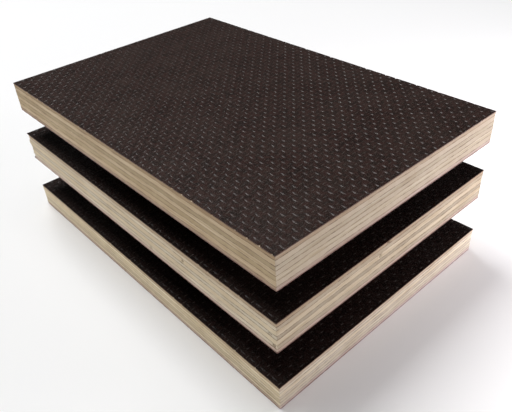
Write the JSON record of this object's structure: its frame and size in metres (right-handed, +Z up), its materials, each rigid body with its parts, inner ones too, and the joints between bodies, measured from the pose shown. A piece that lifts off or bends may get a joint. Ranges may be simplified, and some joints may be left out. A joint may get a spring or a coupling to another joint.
{
  "type": "stack of film-faced plywood panels",
  "caption": "Small stack of dark film-faced plywood panels with a wire-mesh anti-slip face, held apart by hidden spacer blocks.",
  "frame": {"origin": "centre of the box around the whole stack, at its base on the floor", "axes": "+X along the panels' short edges, +Y along their long edges, +Z up"},
  "size_m": [0.1018, 0.1512, 0.0569],
  "materials": {
    "film": "dark brown phenolic resin film with a pressed wire-mesh texture",
    "face_veneer": "tan face veneer, sawn edge",
    "long_grain_veneer": "pale core veneer with its grain along the panel, sawn edge",
    "cross_grain_veneer": "creamy core veneer with its grain across the panel, sawn edge",
    "back_veneer": "pinkish brown back veneer, sawn edge",
    "spacer_wood": "plain sawn softwood"
  },
  "bodies": {
    "root": {"top_film_top": "film", "top_ply_1": "face_veneer", "top_ply_2": "long_grain_veneer", "top_ply_3": "cross_grain_veneer", "top_ply_4": "long_grain_veneer", "top_ply_5": "cross_grain_veneer", "top_ply_6": "long_grain_veneer", "top_ply_7": "back_veneer", "top_film_bottom": "film", "middle_film_top": "film", "middle_ply_1": "face_veneer", "middle_ply_2": "long_grain_veneer", "middle_ply_3": "cross_grain_veneer", "middle_ply_4": "long_grain_veneer", "middle_ply_5": "cross_grain_veneer", "middle_ply_6": "long_grain_veneer", "middle_ply_7": "back_veneer", "middle_film_bottom": "film", "bottom_film_top": "film", "bottom_ply_1": "face_veneer", "bottom_ply_2": "long_grain_veneer", "bottom_ply_3": "cross_grain_veneer", "bottom_ply_4": "long_grain_veneer", "bottom_ply_5": "cross_grain_veneer", "bottom_ply_6": "long_grain_veneer", "bottom_ply_7": "back_veneer", "bottom_film_bottom": "film", "upper_front_block": "spacer_wood", "upper_rear_block": "spacer_wood", "lower_front_block": "spacer_wood", "lower_rear_block": "spacer_wood"}
  },
  "joints": []
}
